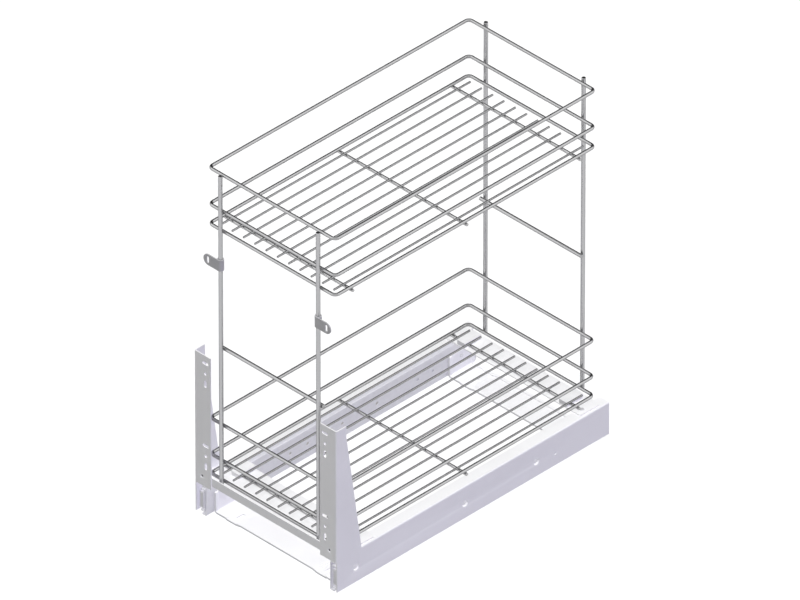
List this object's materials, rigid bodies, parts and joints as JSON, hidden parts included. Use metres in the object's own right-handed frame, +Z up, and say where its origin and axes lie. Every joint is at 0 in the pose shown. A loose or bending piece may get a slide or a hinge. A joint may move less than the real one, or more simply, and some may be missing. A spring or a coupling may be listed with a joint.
{
  "type": "pull out cabinet basket",
  "caption": "Narrow two-tier wire basket on a low sheet-metal carriage that slides out of a base cabinet on full-extension ball runners.",
  "frame": {"origin": "on the cabinet floor, under the middle of the closed unit", "axes": "+X right, +Y towards the back of the cabinet, +Z up; the unit pulls out along -Y"},
  "size_m": [0.2614, 0.5036, 0.5581],
  "materials": {
    "coated_sheet": "smooth light silver-grey powder coat, satin",
    "wire": "bright plated wire",
    "runner_steel": "bright zinc plate, drawn lengthwise",
    "rivet_steel": "zinc plate",
    "ball_steel": "ground and polished",
    "tab_steel": "darker grey coat, satin",
    "clip_plastic": "light grey moulded plastic",
    "buffer_rubber": "black rubber"
  },
  "bodies": {
    "base": {"base_front_plate": "coated_sheet", "base_back_plate": "coated_sheet", "left_cabinet_rail": "runner_steel", "right_cabinet_rail": "runner_steel", "cabinet_rail_rivets": "rivet_steel", "left_rail_buffer": "buffer_rubber", "right_rail_buffer": "buffer_rubber"},
    "left_middle": {"left_middle_rail": "runner_steel"},
    "right_middle": {"right_middle_rail": "runner_steel"},
    "left_outer_cage": {"left_outer_cage": "runner_steel", "left_outer_balls": "ball_steel"},
    "right_outer_cage": {"right_outer_cage": "runner_steel", "right_outer_balls": "ball_steel"},
    "left_inner_cage": {"left_inner_cage": "runner_steel", "left_inner_balls": "ball_steel"},
    "right_inner_cage": {"right_inner_cage": "runner_steel", "right_inner_balls": "ball_steel"},
    "carriage": {"left_carriage_rail": "runner_steel", "right_carriage_rail": "runner_steel", "left_front_stop": "clip_plastic", "right_front_stop": "clip_plastic", "left_side_panel": "coated_sheet", "right_side_panel": "coated_sheet", "carriage_rail_rivets": "rivet_steel", "front_cross_member": "coated_sheet", "back_cross_plate": "coated_sheet", "upright_rivets": "rivet_steel", "back_plate_rivets": "rivet_steel", "front_left_clip": "clip_plastic", "front_right_clip": "clip_plastic", "back_left_clip": "clip_plastic", "back_right_clip": "clip_plastic", "clip_rivets": "rivet_steel", "front_left_post": "wire", "front_right_post": "wire", "back_left_post": "wire", "back_right_post": "wire", "front_cross_rod": "wire", "back_cross_rod": "wire", "lower_bottom_loop": "wire", "lower_middle_loop": "wire", "lower_top_loop": "wire", "lower_floor_wires": "wire", "lower_cross_wires": "wire", "upper_bottom_loop": "wire", "upper_middle_loop": "wire", "upper_top_loop": "wire", "upper_floor_wires": "wire", "upper_cross_wires": "wire", "left_door_tab": "tab_steel", "right_door_tab": "tab_steel"}
  },
  "joints": [
    {"name": "carriage_slide", "type": "slide", "parent": "base", "child": "carriage", "axis": [0, -1, 0], "range_m": [0, 0.48]},
    {"name": "left_middle_slide", "type": "slide", "parent": "base", "child": "left_middle", "axis": [0, -1, 0], "range_m": [0, 0.24]},
    {"name": "left_outer_cage_slide", "type": "slide", "parent": "base", "child": "left_outer_cage", "axis": [0, -1, 0], "range_m": [0, 0.12]},
    {"name": "left_inner_cage_slide", "type": "slide", "parent": "base", "child": "left_inner_cage", "axis": [0, -1, 0], "range_m": [0, 0.36]},
    {"name": "right_middle_slide", "type": "slide", "parent": "base", "child": "right_middle", "axis": [0, -1, 0], "range_m": [0, 0.24]},
    {"name": "right_outer_cage_slide", "type": "slide", "parent": "base", "child": "right_outer_cage", "axis": [0, -1, 0], "range_m": [0, 0.12]},
    {"name": "right_inner_cage_slide", "type": "slide", "parent": "base", "child": "right_inner_cage", "axis": [0, -1, 0], "range_m": [0, 0.36]}
  ],
  "couplings": [
    {"joint": "left_middle_slide", "follows": "carriage_slide", "ratio": 0.5},
    {"joint": "left_outer_cage_slide", "follows": "carriage_slide", "ratio": 0.25},
    {"joint": "left_inner_cage_slide", "follows": "carriage_slide", "ratio": 0.75},
    {"joint": "right_middle_slide", "follows": "carriage_slide", "ratio": 0.5},
    {"joint": "right_outer_cage_slide", "follows": "carriage_slide", "ratio": 0.25},
    {"joint": "right_inner_cage_slide", "follows": "carriage_slide", "ratio": 0.75}
  ]
}
